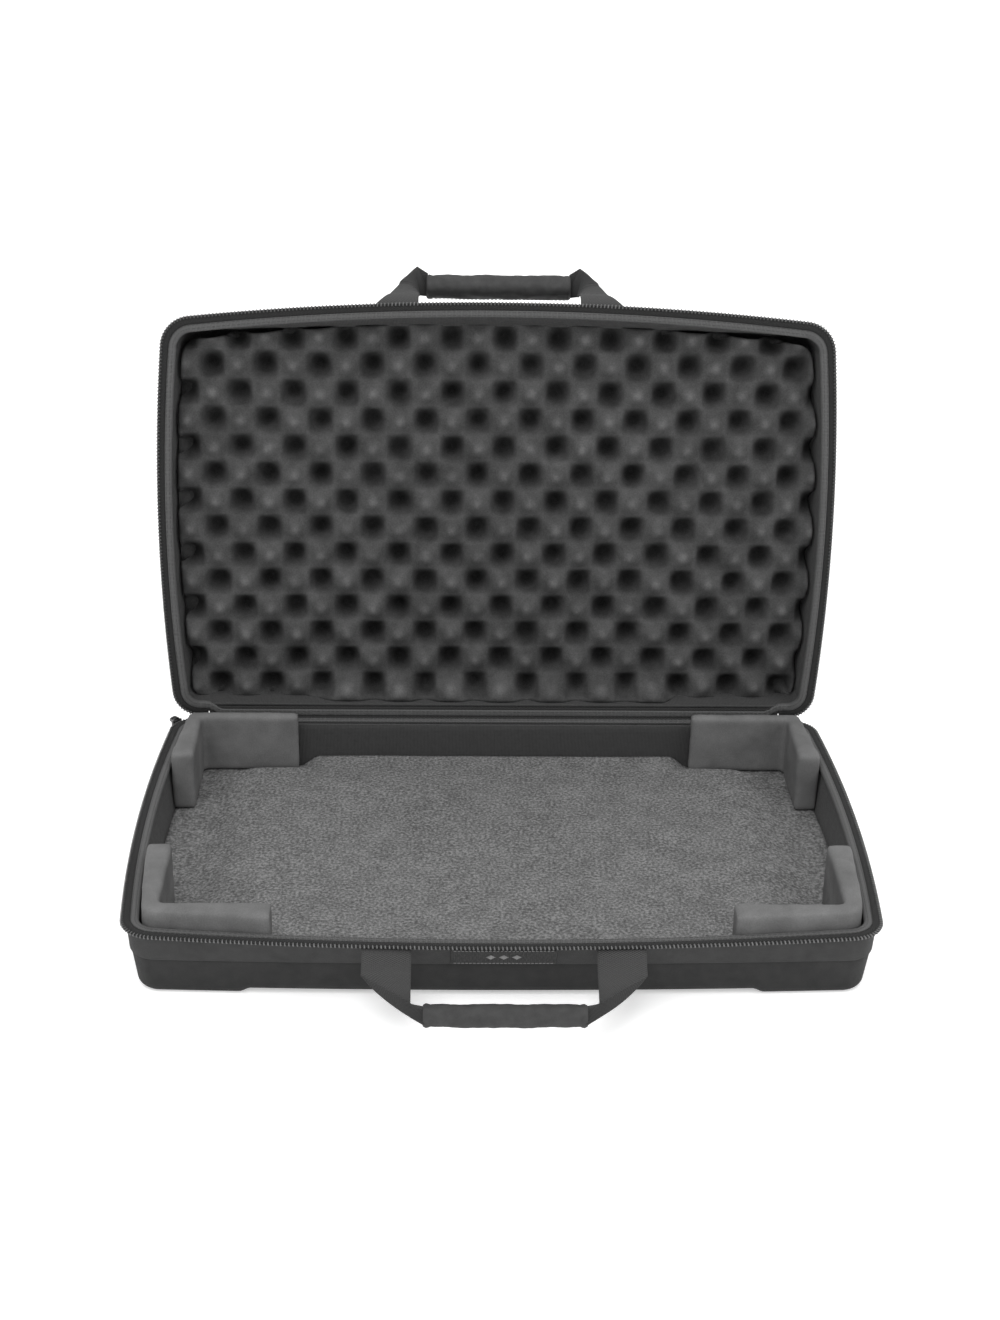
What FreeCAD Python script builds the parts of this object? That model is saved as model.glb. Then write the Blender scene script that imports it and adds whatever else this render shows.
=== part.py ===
import FreeCAD, Part
import math
import os
from FreeCAD import Vector

# Zip-around carry case: a moulded base and lid joined by a fabric hinge along the back, with foam
# inside and a webbing handle on each half. Millimetres. X runs along the case, -Y is the front, +Z is up.
# The model is built with z = 0 under the feet and y = 0 half way between hinge and front corners, then
# moved so that the origin is under the middle of its box. The rest pose has the lid standing open.

os.makedirs("parts", exist_ok=True)

# Outline of the rim, seen from above, at the outer edge of the zip coil
HALF_WIDTH = 305.0          # at the middle of a side
SIDE_BOW = 9.6              # how far a side bows out between its corners
HALF_DEPTH = 183.0          # to the hinge line at the back, and to the front corners
FRONT_BOW = 16.8
FRONT_CORNER_R = 29.4
REAR_CORNER_R = 25.0

# Heights
RIM_Z = 60.0                # plane where base and lid meet
LID_HEIGHT = 56.0
HALF_GAP = 0.3              # each half stops this far short of the rim plane
OPEN_DEG = 98.4             # lid angle from closed, at rest

# Moulded shells, measured in from the outline
SHELL_INSET = 4.5
BAND_LEAN = 1.5             # the raised band below the zip leans in this much
BAND_DEPTH = 24.2
BAND_STEP = 1.2
DRAFT = 4.0                 # how far the wall leans in between band and floor
WALL = 5.0
LINING = 3.0
FLOOR = 3.0
FLOOR_LINING = 1.0
EDGE_R = 22.0               # rounding between wall and floor
FOOT_HEIGHT = 3.5
FOOT_X = 206.0              # inner edge of a foot
FOOT_Y = 105.0
FOOT_SLOPE = 9.0

# Zip, tape and binding: sections measured in from the outline and down from the rim plane
COIL_WIDTH = 2.6
COIL_HEIGHT = 2.6
TAPE_TOP = 1.0
TAPE_THICK = 0.8
TAPE_INNER = SHELL_INSET + WALL
BINDING_OUTER = 5.5
BINDING_INNER = 14.0
BINDING_LEG = 10.0
REAR_ZIP_END = 262.0        # the zip stops here on the back edge
HINGE_HALF = 258.0          # half length of the fabric hinge
STOP_GAP = 0.1              # a stop stays this far inside the coil's outer edge and off the hinge
BACK_CUT_Y = 120.0          # behind this, the zip is cut away between its ends

# Foam
PAD_EDGE_Z = 18.0
PAD_TOP_Z = 27.0
CROWN_SIDE_GAP = 2.0        # the raised middle starts this far from the corner blocks
CROWN_FRONT_Y = -168.0
CROWN_REAR_Y = 166.0
CROWN_MIDDLE_RUN = 16.0, 6.0    # how far the raised part slopes in, along X and Y
CROWN_END_GAP = 3.0, 2.0
CROWN_END_RUN = 60.0, 12.0
BLOCK_TOP_Z = 74.0
BLOCK_INSET = 15.0
BLOCK_END_X = 180.0         # inner end of the long leg
BLOCK_LEG_X = 267.0         # inner face of the short leg
BLOCK_LEG_Y = 156.0         # inner face of the long leg
FRONT_BLOCK_END_Y = -67.0
REAR_BLOCK_END_Y = 84.0
LID_FOAM_RECESS = 16.0      # the foam's peaks stay this far inside the lid's rim
LID_FOAM_INSET = 18.0

# Handles, with the pivot just outside the zip
WEBBING = 38.0
WEBBING_THICK = 2.5
LEG_X = 90.0                # middle of each leg
PIVOT_Y = -203.0
PIVOT_DROP = 13.0           # pivot below (base) or above (lid) the rim plane
GRIP_REACH = 49.0           # pivot to the middle of the grip
GRIP_R = 10.5
GRIP_CORE_R = 8.2
GRIP_HALF = 61.0
GRIP_BAND = 12.0            # width of the webbing folded inside the grip
FOLD_START = 20.0           # where the outer edge of a leg turns towards the grip
BASE_HANDLE_DEG = -20.0     # direction from pivot to grip, measured up from straight out
LID_HANDLE_DEG = -6.0       # the same, from straight back with the lid open
ANCHOR_GAP = 1.8            # between anchor and pivot axis
ANCHOR_HEIGHT = 9.0
ANCHOR_REACH = 25.0         # from pivot to well inside the wall, before it is cut to the wall
FOLD_SHOULDER = 6.0         # the folded edge meets the grip's far side this far beyond its end
LEG_STEP = 4.0              # the leg's inner edge meets the grip this far above its near side

# Slider and pull, parked on the rear left corner
SLIDER_DEG = 140.0
SLIDER_SPAN_DEG = 24.0
SLIDER_DROP = 5.4           # below the rim plane; its top is level with it, clear of the lid's coil
SLIDER_WALL = 1.6
SLIDER_GAP = 0.6
SLIDER_ARM = 1.4
SLIDER_ARM_HALF = 1.3       # half height of an arm that holds the pull's bar
ARM_OVERLAP = 1.0           # an arm starts this far inside the slider's outer face
PULL_BAR_R = 0.9
PULL_BAR_OUT = 5.2          # bar axis beyond the outline
PULL_EYE_R = 2.3
PULL_RUNNING_GAP = 0.06
PULL_EYE_WIDTH = 4.0
PULL_SIDE_GAP = 0.3
PULL_NECK_TOP = 1.0
PULL_NECK_LENGTH = 7.0
PULL_CORNER_R = 2.5
PULL_WIDTH = 9.0
PULL_LENGTH = 30.0
PULL_THICK = 1.6

# Label on the front
LABEL_HALF = 41.0
LABEL_LOW = 35.5
LABEL_HIGH = 54.5
LABEL_THICK = 0.8

UP = Vector(0, 0, 1)
ALONG = Vector(1, 0, 0)
CORNER_X = HALF_WIDTH - SIDE_BOW
HINGE = Vector(0, HALF_DEPTH, RIM_Z)
SHELL_TOP = RIM_Z - TAPE_TOP - TAPE_THICK
BAND_LOW = SHELL_TOP - BAND_DEPTH
PIVOT_Z = RIM_Z - PIVOT_DROP
FAR = 400.0                 # further than anything reaches, for cutting blocks
CLEAR = 5.0                 # a cutting shape goes this far past an open face


def box(low, high):
    """Block between two corners given as (x, y, z)."""
    size = [b - a for a, b in zip(low, high)]
    return Part.makeBox(*size, Vector(*low))


def outline(inset, z):
    """Closed wire of the outline moved in by inset, at z: bowed sides and front, a straight back, round corners."""
    x, y = CORNER_X - inset, HALF_DEPTH - inset
    front_left, front_right = Vector(-x, -y, 0), Vector(x, -y, 0)
    rear_left, rear_right = Vector(-x, y, 0), Vector(x, y, 0)
    edges = [
        Part.Arc(front_left, Vector(0, -y - FRONT_BOW, 0), front_right).toShape(),
        Part.Arc(front_right, Vector(x + SIDE_BOW, 0, 0), rear_right).toShape(),
        Part.makeLine(rear_right, rear_left),
        Part.Arc(rear_left, Vector(-x - SIDE_BOW, 0, 0), front_left).toShape(),
    ]
    block = Part.Face(Part.Wire(edges)).extrude(UP * 10)
    for radius, side in ((FRONT_CORNER_R, -1), (REAR_CORNER_R, 1)):
        corners = [
            e for e in block.Edges
            if e.BoundBox.ZLength > 9 and e.BoundBox.YLength < 1 and abs(e.BoundBox.Center.y - side * y) < 1
        ]
        block = block.makeFillet(radius - inset, corners)
    wire = min(block.Faces, key=lambda f: f.BoundBox.ZMax).OuterWire
    wire.translate(Vector(0, 0, z))
    return wire


def tapered(inset_low, z_low, inset_high, z_high):
    """Solid between two insets of the outline."""
    return Part.makeLoft([outline(inset_low, z_low), outline(inset_high, z_high)], True, True)


def upright(inset, z_low, z_high):
    """Straight solid of the outline moved in by inset."""
    return Part.Face(outline(inset, z_low)).extrude(UP * (z_high - z_low))


def ring(inset_outer, inset_inner, z_low, z_high):
    """Upright band that follows the outline."""
    return upright(inset_outer, z_low, z_high).cut(upright(inset_inner, z_low - 1, z_high + 1))


def round_floor(solid, radius):
    """Rounds the edges where the walls meet the lowest face."""
    low = solid.BoundBox.ZMin
    edges = [e for e in solid.Edges if e.BoundBox.ZMax < low + 1e-3]
    return solid.makeFillet(radius, edges)


def mirrored(shape):
    """The lid's copy of a base piece, mirrored across the rim plane, with the lid closed."""
    return shape.mirror(Vector(0, 0, RIM_Z), UP)


def opened(shape):
    """Turns a lid piece from closed to its rest angle."""
    turned = shape.copy()
    turned.rotate(HINGE, ALONG, -OPEN_DEG)
    return turned


def half_body(floor_z):
    """Filled outer form of a half, from its zip edge down to floor_z."""
    band = tapered(SHELL_INSET + BAND_LEAN, BAND_LOW, SHELL_INSET, SHELL_TOP)
    inset = SHELL_INSET + BAND_LEAN + BAND_STEP
    lower = round_floor(tapered(inset + DRAFT, floor_z, inset, BAND_LOW), EDGE_R)
    return band.fuse(lower)


def half_hollow(inset_top, floor_z, radius):
    """Space inside a wall, open at the zip edge and rounded at floor_z."""
    cup = round_floor(tapered(inset_top + DRAFT, floor_z, inset_top, SHELL_TOP), radius)
    return cup.fuse(upright(inset_top, SHELL_TOP, SHELL_TOP + CLEAR))


def lined_hollow(floor_z):
    """Space inside the lining of a half whose wall's inner floor is at floor_z."""
    return half_hollow(TAPE_INNER + LINING, floor_z + FLOOR_LINING, EDGE_R - WALL - LINING)


def foot_recess():
    """The raised cross between the four feet, as the solid to cut away."""
    def bar(half_x, half_y):
        wires = []
        for z, spread in ((-0.5, FOOT_SLOPE), (FOOT_HEIGHT, 0.0)):
            x, y = half_x - FOOT_SLOPE + spread, half_y - FOOT_SLOPE + spread
            corners = [Vector(-x, -y, z), Vector(x, -y, z), Vector(x, y, z), Vector(-x, y, z)]
            wires.append(Part.makePolygon(corners + corners[:1]))
        return Part.makeLoft(wires, True, True)
    return bar(FOOT_X, FAR).fuse(bar(FAR, FOOT_Y))


def shell_and_lining(floor_z, bottom_z):
    """Moulded wall and the lining inside it, for a half whose inner floor is at floor_z."""
    outer_hollow = half_hollow(TAPE_INNER, floor_z, EDGE_R - WALL)
    shell = half_body(bottom_z).cut(outer_hollow)
    lining = outer_hollow.cut(lined_hollow(floor_z)).common(upright(0, bottom_z, SHELL_TOP))
    return shell, lining.cut(rim_binding())


BASE_FLOOR = FOOT_HEIGHT + FLOOR
LID_BOTTOM = RIM_Z - LID_HEIGHT     # the lid is built below the rim plane like a base, then mirrored


def zip_cutter():
    """Where the zip is missing along the back, between its two ends."""
    return box((-REAR_ZIP_END, BACK_CUT_Y, RIM_Z - BAND_DEPTH), (REAR_ZIP_END, FAR, RIM_Z + BAND_DEPTH))


def zip_tape():
    return ring(COIL_WIDTH, TAPE_INNER, SHELL_TOP, RIM_Z - TAPE_TOP).cut(zip_cutter())


def zip_coil():
    return ring(0, COIL_WIDTH, RIM_Z - HALF_GAP - COIL_HEIGHT, RIM_Z - HALF_GAP).cut(zip_cutter())


def zip_stops():
    """Moulded stop on each end of the coil, on the back edge."""
    low_z, high_z = RIM_Z - HALF_GAP - COIL_HEIGHT, RIM_Z - HALF_GAP
    y = HALF_DEPTH - COIL_WIDTH
    right = box((HINGE_HALF + STOP_GAP, y, low_z), (REAR_ZIP_END, HALF_DEPTH - STOP_GAP, high_z))
    return right.fuse(right.mirror(Vector(0, 0, 0), ALONG))


def rim_binding():
    cap = ring(BINDING_OUTER, BINDING_INNER, RIM_Z - TAPE_TOP, RIM_Z - HALF_GAP)
    leg = ring(TAPE_INNER + LINING, BINDING_INNER, RIM_Z - BINDING_LEG, RIM_Z - TAPE_TOP)
    return cap.fuse(leg).removeSplitter()


def hinge_leaf():
    """Half of the fabric hinge, from the fold on the hinge line to the shell."""
    low = (-HINGE_HALF, HALF_DEPTH - TAPE_INNER, SHELL_TOP)
    return box(low, (HINGE_HALF, HALF_DEPTH - HALF_GAP, RIM_Z - TAPE_TOP))


def handle_anchor(side, shell_body):
    """Sewn end of a leg's webbing, from the wall out to just short of the pivot."""
    x = side * LEG_X
    low = (x - WEBBING / 2, PIVOT_Y + ANCHOR_GAP, PIVOT_Z - ANCHOR_HEIGHT / 2)
    high = (x + WEBBING / 2, PIVOT_Y + ANCHOR_REACH, PIVOT_Z + ANCHOR_HEIGHT / 2)
    piece = box(low, high).cut(shell_body)
    return min(piece.Solids, key=lambda s: s.BoundBox.YMin)


def leg_outline(side):
    """Flat shape of one leg: full width at the pivot, folded over to the grip."""
    inner, outer = LEG_X - WEBBING / 2, LEG_X + WEBBING / 2
    low, high = GRIP_REACH - GRIP_R, GRIP_REACH + GRIP_R
    points = [
        (outer, 0), (outer, FOLD_START), (GRIP_HALF + FOLD_SHOULDER, high), (GRIP_HALF, high),
        (GRIP_HALF, low), (inner, low - LEG_STEP), (inner, 0),
    ]
    corners = [Vector(side * x, -v, 0) for x, v in points]
    return Part.makePolygon(corners + corners[:1])


def handle():
    """Strap, wrap and core of a handle pointing straight out along -Y from a pivot at the origin."""
    half = WEBBING_THICK / 2
    strap = box((-GRIP_HALF, -GRIP_REACH - GRIP_BAND / 2, -half), (GRIP_HALF, -GRIP_REACH + GRIP_BAND / 2, half))
    for side in (-1, 1):
        leg = Part.Face(leg_outline(side)).extrude(UP * WEBBING_THICK)
        leg.translate(Vector(0, 0, -half))
        root = Part.makeCylinder(half, WEBBING, Vector(side * LEG_X - WEBBING / 2, 0, 0), ALONG)
        strap = strap.fuse(leg).fuse(root)
    start = Vector(-GRIP_HALF, -GRIP_REACH, 0)
    core = Part.makeCylinder(GRIP_CORE_R, 2 * GRIP_HALF, start, ALONG)
    wrap = Part.makeCylinder(GRIP_R, 2 * GRIP_HALF, start, ALONG).cut(core)
    return strap.removeSplitter(), wrap, core.cut(strap)


def placed_handle(pivot, direction_deg):
    """The handle moved to pivot, turned about X so that it points direction_deg above -Y."""
    pieces = []
    for piece in handle():
        piece.rotate(Vector(0, 0, 0), ALONG, -direction_deg)
        piece.translate(pivot)
        pieces.append(piece)
    return pieces


# Centre of the rear left corner's rounding, which meets the bowed side
SIDE_RADIUS = (HALF_DEPTH ** 2 + SIDE_BOW ** 2) / (2 * SIDE_BOW)
CORNER_Y = HALF_DEPTH - REAR_CORNER_R
FROM_SIDE_CENTRE = math.sqrt((SIDE_RADIUS - REAR_CORNER_R) ** 2 - CORNER_Y ** 2)
CORNER_CENTRE = Vector(SIDE_RADIUS - SIDE_BOW - CORNER_X - FROM_SIDE_CENTRE, CORNER_Y, 0)


def around_corner(shape):
    """Turns a piece built on the +X side of the rear left corner to where the slider is parked."""
    shape.rotate(Vector(0, 0, 0), UP, SLIDER_DEG)
    shape.translate(CORNER_CENTRE + UP * RIM_Z)
    return shape


def sector(r_low, r_high, z_low, z_high):
    """Part of a tube about the corner, as wide as the slider."""
    start = Vector(0, 0, z_low)
    tube = Part.makeCylinder(r_high, z_high - z_low, start, UP, SLIDER_SPAN_DEG)
    tube = tube.cut(Part.makeCylinder(r_low, z_high - z_low, start, UP, 360))
    tube.rotate(Vector(0, 0, 0), UP, -SLIDER_SPAN_DEG / 2)
    return tube


def slider():
    """Slider that wraps the base coil from outside, with the bar for its pull."""
    outer = REAR_CORNER_R + SLIDER_GAP + SLIDER_WALL
    shell_r = REAR_CORNER_R - SHELL_INSET
    web = sector(REAR_CORNER_R + SLIDER_GAP, outer, -SLIDER_DROP, 0)
    plate = sector(shell_r + SLIDER_GAP, outer, -SLIDER_DROP, SLIDER_WALL - SLIDER_DROP)
    bar_r = REAR_CORNER_R + PULL_BAR_OUT
    half = PULL_EYE_WIDTH / 2 + PULL_SIDE_GAP
    body = web.fuse(plate)
    body = body.fuse(Part.makeCylinder(PULL_BAR_R, 2 * half, Vector(bar_r, -half, 0), Vector(0, 1, 0)))
    for side in (-1, 1):
        y = side * (half + SLIDER_ARM / 2) - SLIDER_ARM / 2
        low = (outer - ARM_OVERLAP, y, -SLIDER_ARM_HALF)
        high = (bar_r + SLIDER_ARM_HALF, y + SLIDER_ARM, SLIDER_ARM_HALF)
        body = body.fuse(box(low, high))
    return around_corner(body.removeSplitter())


def pull():
    """Pull tab hanging from the slider's bar."""
    bar = Vector(REAR_CORNER_R + PULL_BAR_OUT, 0, 0)
    start = bar - Vector(0, PULL_EYE_WIDTH / 2, 0)
    across = Vector(0, 1, 0)
    eye = Part.makeCylinder(PULL_EYE_R, PULL_EYE_WIDTH, start, across)
    hole = Part.makeCylinder(PULL_BAR_R + PULL_RUNNING_GAP, PULL_EYE_WIDTH, start, across)
    x_low, x_high = bar.x - PULL_THICK / 2, bar.x + PULL_THICK / 2
    neck = box((x_low, -PULL_EYE_WIDTH / 2, -PULL_NECK_LENGTH), (x_high, PULL_EYE_WIDTH / 2, -PULL_NECK_TOP))
    tab = box((x_low, -PULL_WIDTH / 2, -PULL_LENGTH), (x_high, PULL_WIDTH / 2, -PULL_NECK_LENGTH))
    corners = [e for e in tab.Edges if e.BoundBox.XLength > 1 and e.BoundBox.YLength < 0.1]
    tab = tab.makeFillet(PULL_CORNER_R, corners)
    return around_corner(eye.fuse(neck).fuse(tab).cut(hole).removeSplitter())


def floor_pad():
    """Foam sheet over the floor, raised between the corner blocks."""
    sheet = lined_hollow(BASE_FLOOR).common(box((-FAR, -FAR, BASE_FLOOR), (FAR, FAR, PAD_EDGE_Z)))

    def crown(low, high, run):
        wires = []
        for z, dx, dy in ((PAD_EDGE_Z, 0, 0), (PAD_TOP_Z, *run)):
            x0, y0, x1, y1 = low[0] + dx, low[1] + dy, high[0] - dx, high[1] - dy
            corners = [Vector(x0, y0, z), Vector(x1, y0, z), Vector(x1, y1, z), Vector(x0, y1, z)]
            wires.append(Part.makePolygon(corners + corners[:1]))
        return Part.makeLoft(wires, True, True)
    edge = BLOCK_END_X - CROWN_SIDE_GAP
    middle = crown((-edge, CROWN_FRONT_Y), (edge, CROWN_REAR_Y), CROWN_MIDDLE_RUN)
    x, y = BLOCK_LEG_X - CROWN_END_GAP[0], BLOCK_LEG_Y - CROWN_END_GAP[1]
    ends = crown((-x, -y), (x, y), CROWN_END_RUN)
    return sheet.fuse(middle).fuse(ends).removeSplitter()


def corner_block(side_x, side_y):
    """L-shaped foam block standing on the pad in one corner, rising above the rim."""
    end_y = REAR_BLOCK_END_Y if side_y > 0 else FRONT_BLOCK_END_Y
    space = upright(BLOCK_INSET, PAD_EDGE_Z, BLOCK_TOP_Z)
    y_out = side_y * FAR
    z = PAD_EDGE_Z - 1, BLOCK_TOP_Z + 1

    def leg(x0, x1, y0, y1):
        xs, ys = sorted((side_x * x0, side_x * x1)), sorted((y0, y1))
        return box((xs[0], ys[0], z[0]), (xs[1], ys[1], z[1]))
    corner = leg(BLOCK_END_X, FAR, side_y * BLOCK_LEG_Y, y_out).fuse(leg(BLOCK_LEG_X, FAR, end_y, y_out))
    inside = lined_hollow(BASE_FLOOR).fuse(upright(0, SHELL_TOP, BLOCK_TOP_Z + 1))
    return space.common(corner).common(inside).removeSplitter()


def lid_foam():
    """Foam sheet against the lid's ceiling, built below the rim plane like a base piece."""
    sheet = upright(LID_FOAM_INSET, LID_BOTTOM, RIM_Z - LID_FOAM_RECESS)
    return sheet.common(lined_hollow(LID_BOTTOM + FLOOR))


base_body = half_body(0.0)
base_shell, base_lining = shell_and_lining(BASE_FLOOR, 0.0)
base_shell = base_shell.cut(foot_recess())
lid_body = half_body(LID_BOTTOM)
lid_shell, lid_lining = shell_and_lining(LID_BOTTOM + FLOOR, LID_BOTTOM)

nodes = {
    "base_shell": base_shell,
    "base_lining": base_lining,
    "base_zip_tape": zip_tape(),
    "base_zip_coil": zip_coil(),
    "base_zip_stops": zip_stops(),
    "base_rim_binding": rim_binding(),
    "base_hinge_leaf": hinge_leaf(),
    "floor_pad": floor_pad(),
}
for name_x, side_x in (("left", -1), ("right", 1)):
    nodes["corner_block_front_" + name_x] = corner_block(side_x, -1)
    nodes["corner_block_rear_" + name_x] = corner_block(side_x, 1)
    nodes["base_handle_anchor_" + name_x] = handle_anchor(side_x, base_body)
    nodes["lid_handle_anchor_" + name_x] = opened(mirrored(handle_anchor(side_x, lid_body)))

label_box = box((-LABEL_HALF, -FAR, LABEL_LOW), (LABEL_HALF, 0, LABEL_HIGH))
label_space = tapered(SHELL_INSET + BAND_LEAN - LABEL_THICK, BAND_LOW, SHELL_INSET - LABEL_THICK, SHELL_TOP)
nodes["label_patch"] = label_space.common(label_box).cut(base_body)

lid_pieces = {
    "lid_shell": lid_shell,
    "lid_lining": lid_lining,
    "lid_zip_tape": zip_tape(),
    "lid_zip_coil": zip_coil(),
    "lid_zip_stops": zip_stops(),
    "lid_rim_binding": rim_binding(),
    "lid_hinge_leaf": hinge_leaf(),
    "lid_foam": lid_foam(),
}
for name, shape in lid_pieces.items():
    nodes[name] = opened(mirrored(shape))

base_pivot = Vector(0, PIVOT_Y, PIVOT_Z)
lid_pivot_closed = Vector(0, PIVOT_Y, 2 * RIM_Z - PIVOT_Z)
turn = FreeCAD.Rotation(ALONG, -OPEN_DEG)
lid_pivot = HINGE + turn.multVec(lid_pivot_closed - HINGE)
handle_names = ("strap", "grip_wrap", "grip_core")
for name, shape in zip(handle_names, placed_handle(base_pivot, BASE_HANDLE_DEG)):
    nodes["base_handle_" + name] = shape
for name, shape in zip(handle_names, placed_handle(lid_pivot, 180.0 - LID_HANDLE_DEG)):
    nodes["lid_handle_" + name] = shape
nodes["zip_slider"] = slider()
nodes["zip_pull"] = pull()

whole = Part.Compound(list(nodes.values())).optimalBoundingBox(False)
shift = Vector(-whole.Center.x, -whole.Center.y, -whole.ZMin)
for name, shape in nodes.items():
    shape.translate(shift)
    shape.exportStep("parts/" + name + ".step")
    print(name, len(shape.Solids), "solid", round(shape.Volume / 1000, 1), "cm3", "valid", shape.isValid())

print("box", whole.XLength, whole.YLength, whole.ZLength)
print("shift", shift)
places = {
    "lid hinge": HINGE,
    "base handle pivot": base_pivot,
    "lid handle pivot": lid_pivot,
    "slider turn": CORNER_CENTRE + UP * RIM_Z,
    "pull bar": around_corner(Part.Vertex(REAR_CORNER_R + PULL_BAR_OUT, 0, 0)).Point,
}
for name, point in places.items():
    print(name, point + shift)
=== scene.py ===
import math

import bmesh
import bpy
import numpy as np
from mathutils import Matrix, noise, Vector


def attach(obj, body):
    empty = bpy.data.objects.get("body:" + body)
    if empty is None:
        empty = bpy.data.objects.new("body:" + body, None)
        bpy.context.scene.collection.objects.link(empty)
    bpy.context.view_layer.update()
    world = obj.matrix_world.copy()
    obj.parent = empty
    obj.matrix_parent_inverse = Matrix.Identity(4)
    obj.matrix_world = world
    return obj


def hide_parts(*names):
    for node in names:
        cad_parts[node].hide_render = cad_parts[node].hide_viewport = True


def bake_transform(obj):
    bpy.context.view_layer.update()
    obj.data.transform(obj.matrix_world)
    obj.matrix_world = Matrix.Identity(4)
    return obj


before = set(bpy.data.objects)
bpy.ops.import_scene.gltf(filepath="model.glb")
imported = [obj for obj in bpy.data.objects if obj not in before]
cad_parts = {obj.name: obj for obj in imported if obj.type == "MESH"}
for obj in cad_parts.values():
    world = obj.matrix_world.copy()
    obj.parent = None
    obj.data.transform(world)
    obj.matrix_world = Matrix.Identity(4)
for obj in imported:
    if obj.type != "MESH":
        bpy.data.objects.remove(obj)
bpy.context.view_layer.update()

# All shapes are built in millimetres around the middle of the case, with z = 0 under the feet, and
# then placed in the model's frame. Lid pieces are built like base pieces, with their rim on top, then
# turned over and opened about the hinge line.
MM = 0.001
SHIFT_Y = -26.004182        # from the middle of the case to the frame's origin
OPEN = math.radians(98.4)   # how far the lid stands open at rest

# outline of the rim
CORNER_X = 295.4            # half width without the bow
HALF_DEPTH = 183.0
SIDE_BOW = 9.6
FRONT_BOW = 16.8
FRONT_R, REAR_R = 29.4, 25.0
LEAST_R = 3.0               # smallest corner radius of an outline moved in
FRONT_STEPS, FRONT_CORNER_STEPS, SIDE_STEPS, REAR_CORNER_STEPS = 110, 14, 80, 12
BACK_POINTS = 67

# heights
RIM_Z = 60.0                # where the two halves meet
SHELL_TOP = 58.2
BAND_LOW = 34.0             # lower edge of the raised band
LOW_BOW = 6.0               # bow of the front wall below the raised band

# along the back
HINGE_HALF = 258.0
REAR_ZIP_END = 262.0

# handles
PIVOT = np.array([-203.0, 47.0])            # (y, z)
LEG_X = 90.0
WEBBING = 38.0
BASE_DROOP = 20.0           # degrees, direction of a handle below straight out
LID_DROOP = 87.6


# ---------------------------------------------------------------- placing and building

def in_base(points):
    p = np.array(points, float).reshape(-1, 3)
    p[:, 1] += SHIFT_Y
    return p * MM


def in_lid(points):
    p = np.array(points, float).reshape(-1, 3)
    y, z = p[:, 1] - HALF_DEPTH, RIM_Z - p[:, 2]
    c, s = math.cos(OPEN), math.sin(OPEN)
    return in_base(np.stack([p[:, 0], HALF_DEPTH + y * c + z * s, RIM_Z - y * s + z * c], 1))


def build(name, points, faces, place, material, body=None, uv=None):
    """Mesh object from points in mm, with an optional UV per face corner in mm."""
    me = bpy.data.meshes.new(name)
    if place is in_lid:                                     # the lid's shapes are mirrored
        faces = [f[::-1] for f in faces]
        uv = None if uv is None else [f[::-1] for f in uv]
    me.from_pydata([tuple(p) for p in place(points)], [], [tuple(int(i) for i in f) for f in faces])
    if uv is not None:
        layer = me.uv_layers.new(name="weave")
        flat = np.array([c for f in uv for c in f], np.float32)
        layer.data.foreach_set("uv", flat.ravel())
    me.polygons.foreach_set("use_smooth", [True] * len(me.polygons))
    me.validate()
    ob = bpy.data.objects.new(name, me)
    bpy.context.scene.collection.objects.link(ob)
    me.materials.append(material)
    if body:
        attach(ob, body)
    return ob


def refinish(node, material):
    """A CAD node keeps its shape and gets a finished material."""
    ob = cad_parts[node]
    ob.data.materials.clear()
    ob.data.materials.append(material)


def grid_faces(rows, cols, close_rows=False, close_cols=False, start=0):
    """Quads of a rows x cols grid of points, as an array of indices."""
    r = np.arange(rows if close_rows else rows - 1)
    c = np.arange(cols if close_cols else cols - 1)
    a, b = np.meshgrid(r, c, indexing="ij")
    a2, b2 = (a + 1) % rows, (b + 1) % cols
    quads = np.stack([a * cols + b, a * cols + b2, a2 * cols + b2, a2 * cols + b], -1)
    return start + quads.reshape(-1, 4)


def grid_uv(rows, cols, u, v, close_rows=False, close_cols=False):
    """UVs for grid_faces: u has one value per column edge, v one per row edge, in mm."""
    r = np.arange(rows if close_rows else rows - 1)
    c = np.arange(cols if close_cols else cols - 1)
    a, b = np.meshgrid(r, c, indexing="ij")
    corners = [(b, a), (b + 1, a), (b + 1, a + 1), (b, a + 1)]
    return np.stack([np.stack([u[i], v[j]], -1) for i, j in corners], 2).reshape(-1, 4, 2)


def add_caps(faces, uv, first, last, flip_first, flat=None):
    """Closes the two ends of a sweep. The UVs are taken from above where flat gives the points."""
    for ids, flip in ((list(first), flip_first), (list(last), not flip_first)):
        ids = ids[::-1] if flip else ids
        faces.append(ids)
        uv.append([(0.0, 0.0)] * len(ids) if flat is None else [flat[i][:2] for i in ids])


def slab_faces(rows, cols):
    """Faces of two equal grids, the second turned over, joined along their edges."""
    count = rows * cols
    faces = list(grid_faces(rows, cols)) + [f[::-1] for f in grid_faces(rows, cols, start=count)]
    edge = [(0, j) for j in range(cols)] + [(i, cols - 1) for i in range(1, rows)]
    edge += [(rows - 1, j) for j in range(cols - 2, -1, -1)] + [(i, 0) for i in range(rows - 2, 0, -1)]
    ids = [i * cols + j for i, j in edge]
    return faces + [(a, a + count, b + count, b) for a, b in zip(ids, ids[1:] + ids[:1])]


def run_lengths(path):
    """Length along a path up to each of its points."""
    return np.concatenate([[0.0], np.cumsum(np.linalg.norm(np.diff(path, axis=0), axis=1))])


def arc(centre, radius, a0, a1, n):
    t = np.linspace(a0, a1, n + 1)
    return np.stack([centre[0] + radius * np.cos(t), centre[1] + radius * np.sin(t)], 1)


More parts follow.
